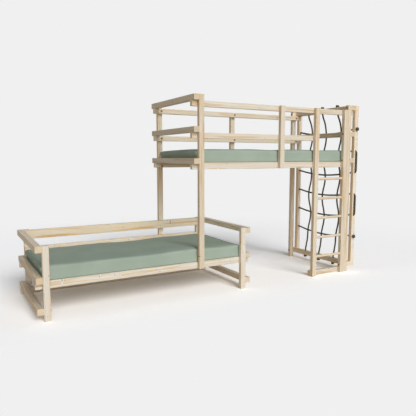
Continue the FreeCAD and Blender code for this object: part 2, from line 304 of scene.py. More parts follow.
@dataclass(frozen=True)
class Beam:
    """One piece of wood: its CAD node, the way its fibres run, a number of its own and its tone.

    The number shifts the pith, the knots and the colour, so that no two beams are alike.
    """

    node: str
    grain: Grain
    seed: int
    tone: Tone
    pith_away: float = 0.034
    pith_play: float = 0.012
    pith_rate: float = 1.7
    fresh_gain: float = 1.02
    mellow_loss: float = 0.07
    gain_play: float = 0.03
    gain_rate: float = 3.1
    warmth_play: float = 0.12
    warmth_rate: float = 5.3
    streak_base: float = 0.2
    streak_rise: float = 0.9

    def pith(self) -> Vector:
        """Place of the pith, beside the beam's middle and turned on from beam to beam.

        Returns:
            The place across the fibres.
        """
        angle = self.seed * GOLDEN_ANGLE
        away = self.pith_away + self.pith_play * math.sin(self.seed * self.pith_rate)
        return away * Vector((math.cos(angle), math.sin(angle)))

    def gain(self) -> float:
        """Factor on the wood's colours: lower where it has yellowed, and with painted light that lifts a
        beam in shade or lowers one in light.
        """
        aged = self.fresh_gain - self.mellow_loss * self.tone.mellow
        return self.tone.painted_light * (aged + self.gain_play * math.sin(self.seed * self.gain_rate))

    def warmth(self) -> float:
        """Share of amber in the broad tone."""
        return self.tone.mellow + self.warmth_play * math.sin(self.seed * self.warmth_rate)

    def flare(self) -> float:
        """Share of resin colour in the streaks, higher where the wood has yellowed."""
        return self.tone.streaks * (self.streak_base + self.streak_rise * self.tone.mellow)


@dataclass(frozen=True)
class SoftwoodFinish:
    """Planed pine: pale early wood, thin amber late wood lines and a few brown knots.

    The year rings are cylinders round a pith beside the beam, so they give long lines on the sides and
    arcs on the sawn ends, as in a real beam. A pattern's sizes are along the fibres first, then across.
    """

    wood: str = "planed pine"
    pale: str = "#EAE7DE"
    amber: str = "#DFC59A"
    flame: str = "#D2A768"
    knot: str = "#8A5A35"
    end: str = "#DEC69D"
    roughness: float = 0.52
    gloss_play: Span = (-0.07, 0.1)
    ior: float = 1.5
    beam_step: float = 0.7
    knot_cell_mm: Point = (71.43, 100.0, 333.3)
    knot_share: float = 0.09
    knot_core: float = 0.5
    knot_halo: float = 3.0
    knot_sizes: Span = (0.25, 1.0)
    knot_bend: float = 0.008
    pin_cell_mm: Point = (50.0, 41.67, 41.67)
    pin_share: float = 0.5
    pin_rim: Span = (0.06, 0.13)
    pin_depth: float = 0.8
    wander_mm: Point = (909.1, 111.1, 111.1)
    wander_way: float = 0.03
    ring_mm: float = 7.0
    late_wood: Span = (0.45, 0.86)
    broad_mm: Point = (534.8, 65.36, 65.36)
    broad_span: Span = (0.38, 0.72)
    broad_base: float = 0.4
    flame_mm: Point = (769.2, 29.41, 29.41)
    flame_span: Span = (0.56, 0.68)
    fibre_mm: float = 1.4
    fibre_run_mm: float = 111.11
    fibre_span: Span = (0.3, 0.75)
    fibre_gains: Span = (1.05, 0.87)
    face_span: Span = (0.75, 0.98)
    end_share: float = 0.4
    # Tint of the painted warm bounce light on faces that look along the bed.
    bounce_paint_tint: Point = (1.12, 1.06, 0.98)
    ring_height: float = 0.4
    relief: float = 0.22
    relief_mm: float = 0.6

    def local_place(self, tree: Tree, place: Socket, beam: Beam) -> Socket:
        """Place within a beam, with the fibres along the first axis.

        Args:
            tree: Tree of the material.
            place: Object coordinates.
            beam: The piece of wood.
        Returns:
            The place about the beam's middle, shifted along the fibres by the beam's number.
        """
        low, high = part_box(beam.node)
        middle = (low + high) / 2
        origin = Vector([middle["XYZ".index(axis)] for axis in beam.grain.value])
        origin.x -= self.beam_step * beam.seed
        split = add_node(tree, "ShaderNodeSeparateXYZ", {0: place})
        turned = add_node(tree, "ShaderNodeCombineXYZ",
                          {i: split.outputs[axis] for i, axis in enumerate(beam.grain.value)})
        local = add_node(tree, "ShaderNodeVectorMath", {0: turned.outputs[0], 1: origin},
                         operation="SUBTRACT")
        return local.outputs[0]

    def knots(self, tree: Tree, local: Socket) -> tuple[Socket, Socket]:
        """Knots of two kinds: branches of many sizes that cross the beam, and small dark pin knots.

        Args:
            tree: Tree of the material.
            local: Place within the beam.
        Returns:
            Share of knot brown, and how far the year rings bend out round a branch.
        """
        cells = add_node(tree, "ShaderNodeVectorMath", {0: local, 1: per_metre(*self.knot_cell_mm)},
                         operation="MULTIPLY")
        spots = add_node(tree, "ShaderNodeTexVoronoi", {"Vector": cells.outputs[0], "Scale": 1.0},
                         feature="F1")
        girth = add_node(tree, "ShaderNodeSeparateXYZ", {0: spots.outputs["Color"]})
        wide = add_node(tree, "ShaderNodeMapRange", {
            "Value": girth.outputs["X"], "To Min": self.knot_sizes[0], "To Max": self.knot_sizes[1]})
        away = add_node(tree, "ShaderNodeMath", {0: spots.outputs["Distance"], 1: wide.outputs["Result"]},
                        operation="DIVIDE")
        core = add_node(tree, "ShaderNodeMapRange", {
            "Value": away.outputs[0], "From Min": self.knot_share * self.knot_core,
            "From Max": self.knot_share, "To Min": 1.0, "To Max": 0.0}, interpolation_type="SMOOTHSTEP")
        halo = add_node(tree, "ShaderNodeMapRange", {
            "Value": away.outputs[0], "From Min": 0.0, "From Max": self.knot_share * self.knot_halo,
            "To Min": self.knot_bend, "To Max": 0.0}, interpolation_type="SMOOTHSTEP")

        # Only a share of the small cells has a pin knot, so a face gets a few on each metre.
        grid = add_node(tree, "ShaderNodeVectorMath", {0: local, 1: per_metre(*self.pin_cell_mm)},
                        operation="MULTIPLY")
        pins = add_node(tree, "ShaderNodeTexVoronoi", {"Vector": grid.outputs[0], "Scale": 1.0},
                        feature="F1")
        draw = add_node(tree, "ShaderNodeSeparateXYZ", {0: pins.outputs["Color"]})
        used = add_node(tree, "ShaderNodeMath", {0: draw.outputs["X"], 1: self.pin_share},
                        operation="LESS_THAN")
        dot = add_node(tree, "ShaderNodeMapRange", {
            "Value": pins.outputs["Distance"], "From Min": self.pin_rim[0], "From Max": self.pin_rim[1],
            "To Min": self.pin_depth, "To Max": 0.0}, interpolation_type="SMOOTHSTEP")
        pin = add_node(tree, "ShaderNodeMath", {0: dot.outputs["Result"], 1: used.outputs[0]},
                       operation="MULTIPLY")
        brown = add_node(tree, "ShaderNodeMath", {0: core.outputs["Result"], 1: pin.outputs[0]},
                         operation="MAXIMUM")
        return brown.outputs[0], halo.outputs["Result"]

    def drifted_place(self, tree: Tree, local: Socket) -> Socket:
        """Place within the beam, pushed sideways so that rings and streaks wander slowly along it.

        Args:
            tree: Tree of the material.
            local: Place within the beam.
        Returns:
            The drifted place.
        """
        stretch = add_node(tree, "ShaderNodeVectorMath", {0: local, 1: per_metre(*self.wander_mm)},
                           operation="MULTIPLY")
        wander = add_node(tree, "ShaderNodeTexNoise", {
            "Vector": stretch.outputs[0], "Scale": 1.0, "Detail": 2.0, "Roughness": 0.45})
        drifted = add_node(tree, "ShaderNodeVectorMath", {
            0: wander.outputs["Color"], 1: (0.0, self.wander_way, self.wander_way), 2: local},
            operation="MULTIPLY_ADD")
        return drifted.outputs[0]

    def years(self, tree: Tree, drifted: Socket, bend: Socket, beam: Beam) -> Socket:
        """Part of the year that the wood at a place grew in, from zero in spring to one.

        Args:
            tree: Tree of the material.
            drifted: Drifted place within the beam.
            bend: How far the rings bend out there.
            beam: The piece of wood.
        Returns:
            The part of the year.
        """
        pith = beam.pith()
        from_pith = add_node(tree, "ShaderNodeVectorMath", {0: drifted, 1: (0.0, pith.x, pith.y)},
                             operation="SUBTRACT")
        flat = add_node(tree, "ShaderNodeVectorMath", {0: from_pith.outputs[0], 1: (0.0, 1.0, 1.0)},
                        operation="MULTIPLY")
        radius = add_node(tree, "ShaderNodeVectorMath", {0: flat.outputs[0]}, operation="LENGTH")
        bent = add_node(tree, "ShaderNodeMath", {0: radius.outputs["Value"], 1: bend}, operation="ADD")
        rings = add_node(tree, "ShaderNodeMath", {0: bent.outputs[0], 1: 1 / (self.ring_mm * MM)},
                         operation="MULTIPLY")
        year = add_node(tree, "ShaderNodeMath", {0: rings.outputs[0]}, operation="FRACT")
        return year.outputs[0]

    def fibres(self, tree: Tree, local: Socket) -> Socket:
        """Fine fibres along the beam.

        Args:
            tree: Tree of the material.
            local: Place within the beam.
        Returns:
            A level that runs in thin streaks.
        """
        sizes = (self.fibre_run_mm, self.fibre_mm, self.fibre_mm)
        threads = add_node(tree, "ShaderNodeVectorMath", {0: local, 1: per_metre(*sizes)},
                           operation="MULTIPLY")
        fibre = add_node(tree, "ShaderNodeTexNoise", {
            "Vector": threads.outputs[0], "Scale": 1.0, "Detail": 3.0, "Roughness": 0.6})
        return fibre.outputs["Fac"]

    def ringed(self, tree: Tree, local: Socket, year: Socket, beam: Beam) -> Socket:
        """Colour of the year rings under the beam's broad warm tone.

        Args:
            tree: Tree of the material.
            local: Place within the beam.
            year: Part of the year.
            beam: The piece of wood.
        Returns:
            The colour.
        """
        pale = toned(self.pale, beam.gain())
        amber = toned(self.amber, beam.gain())
        late = add_node(tree, "ShaderNodeValToRGB", {"Fac": year})
        set_ramp(late, [(0.0, pale), (self.late_wood[0], pale), (self.late_wood[1], amber), (1.0, pale)])
        wide = add_node(tree, "ShaderNodeVectorMath", {0: local, 1: per_metre(*self.broad_mm)},
                        operation="MULTIPLY")
        broad = add_node(tree, "ShaderNodeTexNoise", {
            "Vector": wide.outputs[0], "Scale": 1.0, "Detail": 3.0, "Roughness": 0.5})
        tint = add_node(tree, "ShaderNodeMapRange", {
            "Value": broad.outputs["Fac"], "From Min": self.broad_span[0], "From Max": self.broad_span[1],
            "To Min": self.broad_base * beam.warmth(), "To Max": beam.warmth()})
        warm = add_node(tree, "ShaderNodeMix", {
            "Factor": tint.outputs["Result"], "A": late.outputs["Color"], "B": amber}, data_type="RGBA")
        return warm.outputs["Result"]

    def streaked(self, tree: Tree, drifted: Socket, fibre: Socket, warm: Socket, beam: Beam) -> Socket:
        """Colour with tongues of resin and fine dark fibres.

        Args:
            tree: Tree of the material.
            drifted: Drifted place within the beam.
            fibre: Level of the fine fibres.
            warm: Colour of the rings.
            beam: The piece of wood.
        Returns:
            The colour of clear wood.
        """
        lick = add_node(tree, "ShaderNodeVectorMath", {0: drifted, 1: per_metre(*self.flame_mm)},
                        operation="MULTIPLY")
        tongue = add_node(tree, "ShaderNodeTexNoise", {
            "Vector": lick.outputs[0], "Scale": 1.0, "Detail": 1.0, "Roughness": 0.4})
        flare = add_node(tree, "ShaderNodeMapRange", {
            "Value": tongue.outputs["Fac"], "From Min": self.flame_span[0], "From Max": self.flame_span[1],
            "To Min": 0.0, "To Max": beam.flare()}, interpolation_type="SMOOTHSTEP")
        resin = add_node(tree, "ShaderNodeMix", {
            "Factor": flare.outputs["Result"], "A": warm, "B": toned(self.flame, beam.gain())},
            data_type="RGBA")
        streak = add_node(tree, "ShaderNodeMapRange", {
            "Value": fibre, "From Min": self.fibre_span[0], "From Max": self.fibre_span[1],
            "To Min": self.fibre_gains[0], "To Max": self.fibre_gains[1]})
        fine = add_node(tree, "ShaderNodeVectorMath", {
            0: resin.outputs["Result"], 1: streak.outputs["Result"]}, operation="MULTIPLY")
        return fine.outputs[0]

    def faced(self, tree: Tree, normal: Socket, clear: Socket, brown: Socket, beam: Beam) -> Socket:
        """Colour of each face, with its knots.

        Sawn ends drink more oil, so they are warmer. Faces that look along the bed get a painted warm
        tint, which stands for the light that the other beams throw back.

        Args:
            tree: Tree of the material.
            normal: Direction that a place looks in.
            clear: Colour of clear wood.
            brown: Share of knot brown.
            beam: The piece of wood.
        Returns:
            The finished colour.
        """
        near, full = self.face_span
        facing = add_node(tree, "ShaderNodeSeparateXYZ", {0: normal})
        endwise = add_node(tree, "ShaderNodeMath", {0: facing.outputs[beam.grain.value[0]]},
                           operation="ABSOLUTE")
        sawn = add_node(tree, "ShaderNodeMapRange", {
            "Value": endwise.outputs[0], "From Min": near, "From Max": full, "To Max": self.end_share})
        ends = add_node(tree, "ShaderNodeMix", {
            "Factor": sawn.outputs["Result"], "A": clear, "B": toned(self.end, beam.gain())},
            data_type="RGBA")
        knotted = add_node(tree, "ShaderNodeMix", {
            "Factor": brown, "A": ends.outputs["Result"], "B": linear(self.knot)}, data_type="RGBA")
        # Painted warm bounce light: faces that look along the bed are tinted warmer, for light thrown back
        # by other beams.
        edgewise = add_node(tree, "ShaderNodeMath", {0: facing.outputs["X"]}, operation="ABSOLUTE")
        bounce_share = add_node(tree, "ShaderNodeMapRange", {
            "Value": edgewise.outputs[0], "From Min": near, "From Max": full, "To Max": beam.tone.bounce_paint})
        bounce_lit = add_node(tree, "ShaderNodeMix", {
            "Factor": bounce_share.outputs["Result"], "A": knotted.outputs["Result"],
            "B": (*self.bounce_paint_tint, 1.0)}, data_type="RGBA", blend_type="MULTIPLY")
        return bounce_lit.outputs["Result"]

    def material(self, beam: Beam) -> bpy.types.Material:
        """Make this wood for one beam.

        Args:
            beam: The piece of wood.
        Returns:
            The material.
        """
        material, tree = new_material(f"{self.wood}, {beam.node}")
        place = add_node(tree, "ShaderNodeTexCoord")
        local = self.local_place(tree, place.outputs["Object"], beam)
        brown, bend = self.knots(tree, local)
        drifted = self.drifted_place(tree, local)
        year = self.years(tree, drifted, bend, beam)
        fibre = self.fibres(tree, local)
        warm = self.ringed(tree, local, year, beam)
        clear = self.streaked(tree, drifted, fibre, warm, beam)
        colour = self.faced(tree, place.outputs["Normal"], clear, brown, beam)
        rough = add_node(tree, "ShaderNodeMapRange", {
            "Value": fibre, "To Min": self.roughness + self.gloss_play[0],
            "To Max": self.roughness + self.gloss_play[1]})
        height = add_node(tree, "ShaderNodeMath", {0: year, 1: self.ring_height, 2: fibre},
                          operation="MULTIPLY_ADD")
        end_material(tree, height.outputs[0], self.relief, self.relief_mm, {
            "Base Color": colour, "Roughness": rough.outputs["Result"], "IOR": self.ior})
        return material


@dataclass(frozen=True)
class CottonFinish:
    """Woven cotton cover, dyed sage: a dull cloth with a fine plain weave and a slight nap.

    The threads are drawn 3 mm apart, coarser than the real ones, so that they show at all.
    """

    dyed: str = "#ACBBAD"
    shade: str = "#9DAC9E"
    roughness: float = 0.9
    specular: float = 0.08
    thread_mm: float = 3.2
    thread_share: float = 0.33
    wavy_mm: float = 71.43
    wavy_way_mm: float = 6.0
    fleck_mm: float = 3.846
    fleck_share: float = 0.7
    fleck_height: float = 0.6
    worn_mm: float = 285.7
    mottle_span: Span = (0.55, 1.15)
    relief: float = 0.3
    relief_mm: float = 0.6

    def material(self, piece: str) -> bpy.types.Material:
        """Make the cloth for one mattress.

        Args:
            piece: Name of the mattress.
        Returns:
            The material.
        """
        material, tree = new_material(f"woven cotton, {piece}")
        place = add_node(tree, "ShaderNodeTexCoord").outputs["Object"]
        wavy_scale, fleck_scale, worn_scale = per_metre(self.wavy_mm, self.fleck_mm, self.worn_mm)
        wavy = add_node(tree, "ShaderNodeTexNoise", {"Vector": place, "Scale": wavy_scale, "Detail": 2.0})
        drift = add_node(tree, "ShaderNodeVectorMath", {
            0: wavy.outputs["Color"], 1: (self.wavy_way_mm * MM,) * 3, 2: place}, operation="MULTIPLY_ADD")
        turns = add_node(tree, "ShaderNodeVectorMath", {
            0: drift.outputs[0], 1: (2 * math.pi / (self.thread_mm * MM),) * 3}, operation="MULTIPLY")
        waves = add_node(tree, "ShaderNodeVectorMath", {0: turns.outputs[0]}, operation="SINE")
        weave = add_node(tree, "ShaderNodeVectorMath", {0: waves.outputs[0], 1: (self.thread_share,) * 3},
                         operation="DOT_PRODUCT")
        flecks = add_node(tree, "ShaderNodeTexNoise", {
            "Vector": place, "Scale": fleck_scale, "Detail": 2.0, "Roughness": 0.6})
        worn = add_node(tree, "ShaderNodeTexNoise", {"Vector": place, "Scale": worn_scale, "Detail": 3.0})
        blend = add_node(tree, "ShaderNodeMath", {
            0: flecks.outputs["Fac"], 1: self.fleck_share, 2: worn.outputs["Fac"]},
            operation="MULTIPLY_ADD")
        mottle = add_node(tree, "ShaderNodeMapRange", {
            "Value": blend.outputs[0], "From Min": self.mottle_span[0], "From Max": self.mottle_span[1]})
        colour = add_node(tree, "ShaderNodeMix", {
            "Factor": mottle.outputs["Result"], "A": linear(self.shade), "B": linear(self.dyed)},
            data_type="RGBA")
        height = add_node(tree, "ShaderNodeMath", {
            0: flecks.outputs["Fac"], 1: self.fleck_height, 2: weave.outputs["Value"]},
            operation="MULTIPLY_ADD")
        end_material(tree, height.outputs[0], self.relief, self.relief_mm, {
            "Base Color": colour.outputs["Result"], "Roughness": self.roughness,
            "Specular IOR Level": self.specular})
        return material


@dataclass(frozen=True)
class RopeFinish:
    """Laid rope of dark twisted yarn: dull, with lighter worn crowns and a near black painted shade in the
    grooves between strands.
    """

    crown: str = "#70654B"
    groove_shade: str = "#393023"
    roughness: float = 0.85
    ior: float = 1.45
    yarn_mm: float = 4.0
    yarn_height: float = 0.12
    fuzz_mm: float = 1.4286
    fuzz_height: float = 0.5
    crown_span: Span = (0.15, 1.25)
    relief: float = 0.5
    relief_mm: float = 0.8

    def material(self, piece: str) -> bpy.types.Material:
        """Make the rope's finish, which follows its strands.

        Args:
            piece: Name of the rope.
        Returns:
            The material, which reads the attributes that the rope's tree stores.
        """
        material, tree = new_material(f"laid rope, {piece}")
        lobe = add_node(tree, "ShaderNodeAttribute", attribute_name="strand_height")
        run = add_node(tree, "ShaderNodeAttribute", attribute_name="rope_run")
        place = add_node(tree, "ShaderNodeTexCoord")
        fuzz = add_node(tree, "ShaderNodeTexNoise", {
            "Vector": place.outputs["Object"], "Scale": 1 / (self.fuzz_mm * MM), "Detail": 3.0,
            "Roughness": 0.65})
        yarn = add_node(tree, "ShaderNodeMath", {
            0: run.outputs["Fac"], 1: 2 * math.pi / (self.yarn_mm * MM)}, operation="MULTIPLY")
        wave = add_node(tree, "ShaderNodeMath", {0: yarn.outputs[0]}, operation="SINE")
        lines = add_node(tree, "ShaderNodeMath", {
            0: wave.outputs[0], 1: self.yarn_height, 2: lobe.outputs["Fac"]}, operation="MULTIPLY_ADD")
        level = add_node(tree, "ShaderNodeMath", {
            0: fuzz.outputs["Fac"], 1: self.fuzz_height, 2: lines.outputs[0]}, operation="MULTIPLY_ADD")
        # Colour follows the strand height: a near black painted shade in the grooves, lighter worn crowns
        # on top.
        share = add_node(tree, "ShaderNodeMapRange", {
            "Value": level.outputs[0], "From Min": self.crown_span[0], "From Max": self.crown_span[1]})
        colour = add_node(tree, "ShaderNodeMix", {
            "Factor": share.outputs["Result"], "A": linear(self.groove_shade), "B": linear(self.crown)},
            data_type="RGBA")
        end_material(tree, level.outputs[0], self.relief, self.relief_mm, {
            "Base Color": colour.outputs["Result"], "Roughness": self.roughness, "IOR": self.ior})
        return material


@dataclass(frozen=True)
class CapFinish:
    """Turned and stained wooden cover caps: red brown, satin, with a faint short grain."""

    stain: str = "#BF7A47"
    dark: str = "#96592F"
    roughness: float = 0.42
    ior: float = 1.5
    grain_mm: Point = (2.0, 11.11, 11.11)
    relief: float = 0.1
    relief_mm: float = 0.4

    def material(self, piece: str) -> bpy.types.Material:
        """Make the caps' finish.

        Args:
            piece: CAD node that it is for.
        Returns:
            The material.
        """
        material, tree = new_material(f"stained beech, {piece}")
        place = add_node(tree, "ShaderNodeTexCoord")
        stretch = add_node(tree, "ShaderNodeVectorMath", {
            0: place.outputs["Object"], 1: per_metre(*self.grain_mm)}, operation="MULTIPLY")
        grain = add_node(tree, "ShaderNodeTexNoise", {
            "Vector": stretch.outputs[0], "Scale": 1.0, "Detail": 2.0})
        colour = add_node(tree, "ShaderNodeMix", {
            "Factor": grain.outputs["Fac"], "A": linear(self.stain), "B": linear(self.dark)},
            data_type="RGBA")
        end_material(tree, grain.outputs["Fac"], self.relief, self.relief_mm, {
            "Base Color": colour.outputs["Result"], "Roughness": self.roughness, "IOR": self.ior})
        return material


@dataclass
class Woodwork:
    """All pieces of wood that keep their CAD shapes.

    The first row of the tones that fits a node's name holds for it. The low bed's posts and the side
    rails are the least yellow. Pieces at the rear, at the net and the ladder's left post are painted
    lighter against the shade they stand in, and the upper bed's left end is painted darker and has no
    painted bounce light on its sides.
    """

    pine: SoftwoodFinish = SoftwoodFinish()
    raw: SoftwoodFinish = SoftwoodFinish(
        wood="sawn spruce", pale="#DDCDB0", amber="#CBAA7C", roughness=0.66)
    beech: SoftwoodFinish = SoftwoodFinish(
        wood="turned beech", pale="#EFE4CE", amber="#E2C8A5", flame="#DDBE8C", roughness=0.45,
        ring_mm=4.0, fibre_mm=0.9, knot_share=0.004, pin_share=0.0)
    caps: CapFinish = CapFinish()
    tones: tuple[tuple[str, Tone], ...] = (
        # Lightness factors other than one are painted light: they lift pieces that stand in shade and
        # darken the upper bed's left end.
        ("upper_left_*", Tone(0.6, painted_light=0.93, streaks=0.4, bounce_paint=0.0)),
        ("upper_rear_left_post", Tone(0.9, painted_light=1.13)),
        ("lower_back_board", Tone(0.66, painted_light=1.12)),
        ("lower_rear_wall_rail", Tone(0.66, painted_light=1.2)),
        ("net_*", Tone(0.34, painted_light=1.17)),
        ("lower_rear_*_post", Tone(0.05, painted_light=1.09)),
        ("lower_*_post", Tone(0.05)),
        ("*_rear_side_rail", Tone(0.08, painted_light=1.09)),
        ("*_side_rail", Tone(0.08)),
        ("lower_left_*", Tone(0.46)),
        ("lower_rear_*", Tone(0.28, painted_light=1.09)),
        ("upper_rear_*", Tone(0.58, painted_light=1.09)),
        ("upper_*", Tone(0.58)),
        ("rear_*", Tone(0.58, painted_light=1.09)),
        ("ladder_left_post", Tone(0.28, painted_light=1.05)),
        ("*", Tone(0.28)),
    )

    def finish_of(self, name: str) -> SoftwoodFinish:
        """Wood that a node is made of.

        Args:
            name: The node.
        Returns:
            Its finish.
        """
        if "slats" in name or "ledger" in name:
            return self.raw
        return self.beech if "rung" in name else self.pine

    def grain_of(self, name: str) -> Grain:
        """Direction of a node's fibres: along its longest side, or across the bed for the slats.

        Args:
            name: The node.
        Returns:
            The direction.
        """
        if "slats" in name:
            return Grain.ALONG_Y
        low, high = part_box(name)
        size = high - low
        longest = max(range(3), key=lambda axis: size[axis])
        return (Grain.ALONG_X, Grain.ALONG_Y, Grain.ALONG_Z)[longest]

    def tone_of(self, name: str) -> Tone:
        """Tone of a node, from the first row that fits its name."""
        return next(tone for pattern, tone in self.tones if fnmatchcase(name, pattern))

    def dress(self, skip: set[str]) -> None:
        """Give each wooden node its own piece of wood.

        Args:
            skip: Nodes that other pieces stand for.
        """
        for seed, name in enumerate(sorted(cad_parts)):
            if name in skip:
                continue
            if name.endswith("bolts"):
                finish = self.caps.material(name)
            else:
                beam = Beam(name, self.grain_of(name), seed, self.tone_of(name))
                finish = self.finish_of(name).material(beam)
            coat(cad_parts[name], finish)
            LOG.info("dressed %s", name)


@dataclass
class RopeNet:
    """Climbing net: three upright ropes and one level rope that is laced through two posts.

    The routes repeat those of the part's source.
    """

    diameter: float = 0.020
    lay: float = 0.062
    strands: int = 3
    strand_sizes: Span = (0.92, 1.08)
    ring_points: int = 18
    ring_step: float = 0.006
    spline_order: int = 3
    spline_steps: int = 12
    rail_x: float = 1.7745
    post_x: float = 1.8315
    front_y: float = -0.522
    rear_y: float = 0.522
    depth: float = 0.043
    top: float = 1.998
    top_lead: float = 1.916
    top_swing: float = 0.051
    top_fall: float = 0.086
    foot_fall: float = 0.112
    foot_swing: float = 0.013
    foot_lead: float = 0.144
    foot: float = 0.062
    weave: float = 0.0215
    cross_lead: float = 0.030
    cross_hold: float = 0.090
    pitch: float = 0.259
    levels: tuple[float, ...] = (1.723, 1.464, 1.205, 0.946, 0.687, 0.428)
    lead: float = 0.025
    sag: float = 0.046
    sag_places: tuple[float, ...] = (0.17, 0.5, 0.83)
    sag_depths: tuple[float, ...] = (0.64, 1.12, 0.64)
    loop_reach: float = 0.014
    loop_bulge: float = 0.015
    loop_shoulder: float = 0.060
    knot_turn: float = 0.0130
    knot_height: float = 0.030
    knot_core_share: float = 0.45
    knot_points: int = 15
    knot_flat_points: int = 4
    knot_points_per_turn: int = 8
    upright_length: float = 1.979
    level_length: float = 7.677
    finish: RopeFinish = RopeFinish()

    def between_posts(self) -> Span:
        """Places where a level rope leaves the front net post and meets the rear one."""
        return self.front_y + self.depth + self.lead, self.rear_y - self.depth - self.lead

    def sag_at(self, y: float) -> float:
        """Depth of a level rope under its holes.

        Args:
            y: Place between the net posts.
        Returns:
            The depth there.
        """
        near, far = self.between_posts()
        share = (y - near) / (far - near)
        places = (0.0, *self.sag_places, 1.0)
        depths = (0.0, *self.sag_depths, 0.0)
        for left, right, low, high in zip(places, places[1:], depths, depths[1:]):
            if left <= share <= right:
                return self.sag * (low + (high - low) * (share - left) / (right - left))
        return 0.0

    def upright_route(self, y: float) -> list[Point]:
        """Route of an upright rope, from the top rail down.

        Args:
            y: Its place across the net.
        Returns:
            The route's points.
        """
        route = [(self.rail_x, y, self.top), (self.rail_x, y, self.top_lead),
                 (self.rail_x + self.top_swing, y, self.top_lead - self.top_fall)]
        side = self.weave
        for level in self.levels:
            crossing = level - self.sag_at(y)
            route += [(self.post_x + side, y, crossing + self.cross_lead),
                      (self.post_x + side, y, crossing - self.cross_hold)]
            side = -side
        lowest = route[-1][2]
        route += [(self.rail_x + self.foot_swing, y, lowest - self.foot_fall),
                  (self.rail_x, y, self.foot_lead), (self.rail_x, y, self.foot)]
        return route

    def level_route(self) -> list[Point]:
        """Route of the level rope, from its upper knot to and fro down to its lower one.

        Returns:
            The route's points.
        """
        near, far = self.between_posts()
        route = [(self.post_x, self.front_y, self.levels[0])]
        for number, height in enumerate(self.levels):
            span = [(self.post_x, near, height)]
            span += [(self.post_x, near + place * (far - near), height - depth * self.sag)
                     for place, depth in zip(self.sag_places, self.sag_depths)]
            span.append((self.post_x, far, height))
            rearwards = number % 2 == 0
            route += span if rearwards else span[::-1]
            if number + 1 < len(self.levels):
                face, out = (self.rear_y, 1) if rearwards else (self.front_y, -1)
                below = self.levels[number + 1]
                route += [(self.post_x, face + out * self.loop_reach, height),
                          (self.post_x, face + out * self.loop_bulge, height - self.loop_shoulder),
                          (self.post_x, face + out * self.loop_bulge, below + self.loop_shoulder),
                          (self.post_x, face + out * self.loop_reach, below)]
        return route + [(self.post_x, self.front_y, self.levels[-1])]

    def knot_route(self, seat: Point, out: Vector) -> list[Point]:
        """Route of a stopper knot: up through its middle, then wound down round itself.

        The last points lie flat on the seat.

        Args:
            seat: Point on the rail or post that the knot sits on.
            out: Direction that it stands out in.
        Returns:
            The route's points.
        """
        side = out.orthogonal().normalized()
        other = out.cross(side)
        radius = self.diameter / 2
        crown = self.knot_height - radius
        fall = self.knot_height - 2 * radius
        winding = self.knot_points - self.knot_flat_points
        start = Vector(seat)
        points = [start, start + out * (self.knot_height * self.knot_core_share), start + out * crown]
        for step in range(self.knot_points):
            angle = step * 2 * math.pi / self.knot_points_per_turn
            rise = crown - fall * min(1.0, step / winding)
            turn = side * math.cos(angle) + other * math.sin(angle)
            points.append(start + out * rise + turn * self.knot_turn)
        return [tuple(point) for point in points]

    def spline(self, name: str, routes: list[list[Point]]) -> bpy.types.Object:
        """Smooth curve with the routes' points as its control points.

        Args:
            name: Name of the curve.
            routes: One list of points for each spline.
        Returns:
            The curve object, with no bevel.
        """
        piece = new_curve(name, "NURBS", routes)
        for line in piece.data.splines:
            line.order_u = self.spline_order
            line.use_endpoint_u = True
            line.resolution_u = self.spline_steps
        return piece

    def centreline(self, name: str, route: list[Point]) -> list[Point]:
        """Points along a route's smooth curve.

        Args:
            name: Name for the short-lived curve.
            route: The route's points.
        Returns:
            The points, in order.
        """
        line = plain_mesh(self.spline(name, [route]), name)
        points = [tuple(vertex.co) for vertex in line.data.vertices]
        bpy.data.objects.remove(line)
        return points

    def strand_tree(self) -> Tree:
        """Geometry nodes that lay a rope's strands along a curve.

        Returns:
            The tree.
        """
        tree, given = new_tree("laid_rope", {
            "Radius": "Float", "Lay": "Float", "Step": "Float", "Strands": "Int", "Material": "Material"})
        rings = add_node(tree, "GeometryNodeResampleCurve", {
            "Curve": given.outputs["Geometry"], "Length": given.outputs["Step"]}, mode="LENGTH")
        run = add_node(tree, "GeometryNodeSplineParameter")
        turns = add_node(tree, "ShaderNodeMath", {0: run.outputs["Length"], 1: given.outputs["Lay"]},
                         operation="DIVIDE")
        angle = add_node(tree, "ShaderNodeMath", {0: turns.outputs[0], 1: 2 * math.pi},
                         operation="MULTIPLY")
        kept = add_node(tree, "GeometryNodeStoreNamedAttribute", {
            "Geometry": rings.outputs[0], "Name": "rope_run", "Value": run.outputs["Length"]},
            data_type="FLOAT", domain="POINT")
        twisted = add_node(tree, "GeometryNodeSetCurveTilt", {
            "Curve": kept.outputs[0], "Tilt": angle.outputs[0]})

